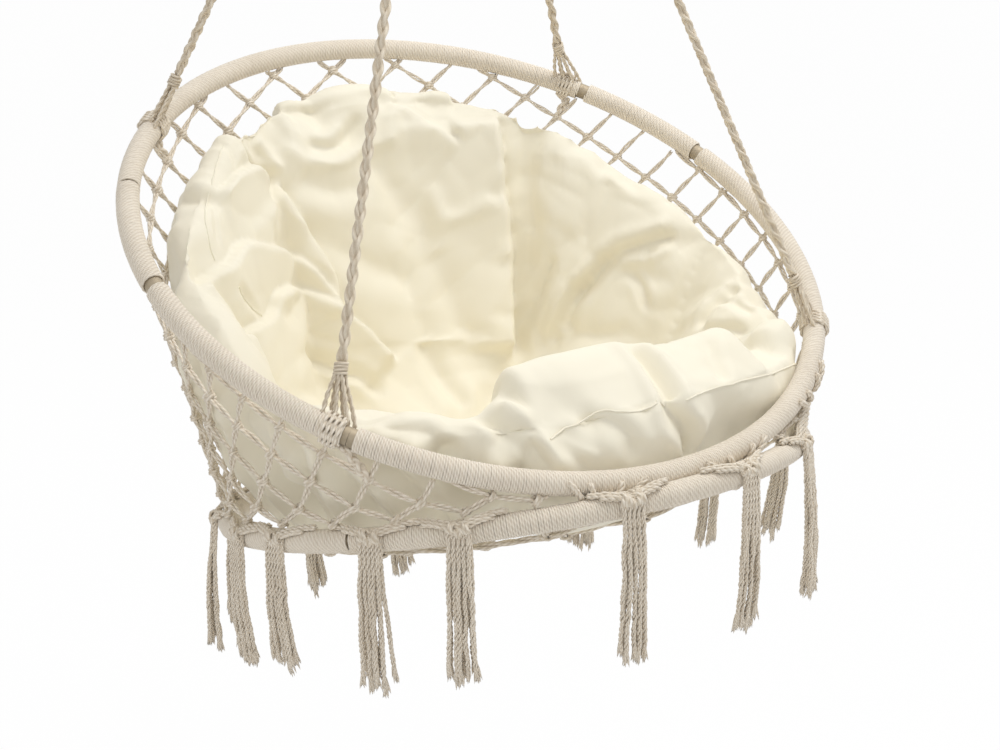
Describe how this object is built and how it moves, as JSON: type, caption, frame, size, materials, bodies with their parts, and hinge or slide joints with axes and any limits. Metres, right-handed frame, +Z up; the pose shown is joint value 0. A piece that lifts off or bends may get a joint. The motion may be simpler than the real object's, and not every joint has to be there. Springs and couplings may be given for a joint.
{
  "type": "hammock chair",
  "caption": "Round hanging chair: two cord-wound steel hoops joined by a knotted net, with a petal cushion, tassels, four ropes, a ring and a snap hook.",
  "frame": {"origin": "the point inside the top of the snap hook where the chair hangs", "axes": "+Z up, front of the chair towards -Y, +X to the right as seen from the front"},
  "size_m": [0.7997, 0.732, 1.4083],
  "materials": {
    "rope": "matte",
    "winding": "matte",
    "net": "matte",
    "tassel": "matte",
    "cushion": "matte",
    "tube": "satin",
    "hardware": "satin"
  },
  "bodies": {
    "hook": {"snap_hook": "hardware", "gate_pin": "hardware"},
    "gate": {"hook_gate": "hardware"},
    "ring": {"hanging_ring": "hardware"},
    "neck": {"rope_loop_left": "rope", "rope_loop_right": "rope", "neck_whipping": "rope"},
    "chair": {"upper_hoop_tube_right": "tube", "upper_hoop_tube_left": "tube", "seat_hoop_tube_right": "tube", "seat_hoop_tube_left": "tube", "upper_hoop_spigot_right": "tube", "upper_hoop_spigot_left": "tube", "seat_hoop_spigot_right": "tube", "seat_hoop_spigot_left": "tube", "upper_winding_back": "winding", "upper_winding_back_right": "winding", "upper_winding_front": "winding", "upper_winding_left": "winding", "upper_winding_back_left": "winding", "seat_winding_right": "winding", "seat_winding_left": "winding", "cushion": "cushion", "seat_net": "net", "side_net_1": "net", "side_net_2": "net", "side_net_3": "net", "side_net_4": "net", "side_net_5": "net", "side_net_6": "net", "side_net_7": "net", "side_net_8": "net", "tassel_01": "tassel", "tassel_02": "tassel", "tassel_03": "tassel", "tassel_04": "tassel", "tassel_05": "tassel", "tassel_06": "tassel", "tassel_07": "tassel", "tassel_08": "tassel", "tassel_09": "tassel", "tassel_10": "tassel", "tassel_11": "tassel", "tassel_12": "tassel", "tassel_13": "tassel", "tassel_14": "tassel", "tassel_15": "tassel", "rope_front_right": "rope", "rope_front_left": "rope", "rope_back_right": "rope", "rope_back_left": "rope", "splay_front_right": "rope", "splay_front_left": "rope", "splay_back_right": "rope", "splay_back_left": "rope"}
  },
  "joints": [
    {"name": "gate_hinge", "type": "hinge", "parent": "hook", "child": "gate", "pos_m": [0, 0.012, -0.038], "axis": [1, 0, 0], "range_deg": [0, 25], "stiffness_Nm_per_rad": 0.05, "springref_deg": -20.05},
    {"name": "ring_swing", "type": "hinge", "parent": "hook", "child": "ring", "pos_m": [0, 0, -0.056], "axis": [0, 1, 0], "range_deg": [-15, 15]},
    {"name": "rope_swing", "type": "hinge", "parent": "ring", "child": "neck", "pos_m": [0, 0, -0.0997], "axis": [1, 0, 0], "range_deg": [-25, 25]},
    {"name": "chair_twist", "type": "hinge", "parent": "neck", "child": "chair", "pos_m": [0, 0, -0.1557], "axis": [0, 0, 1], "range_deg": [-90, 90], "stiffness_Nm_per_rad": 0.3}
  ]
}
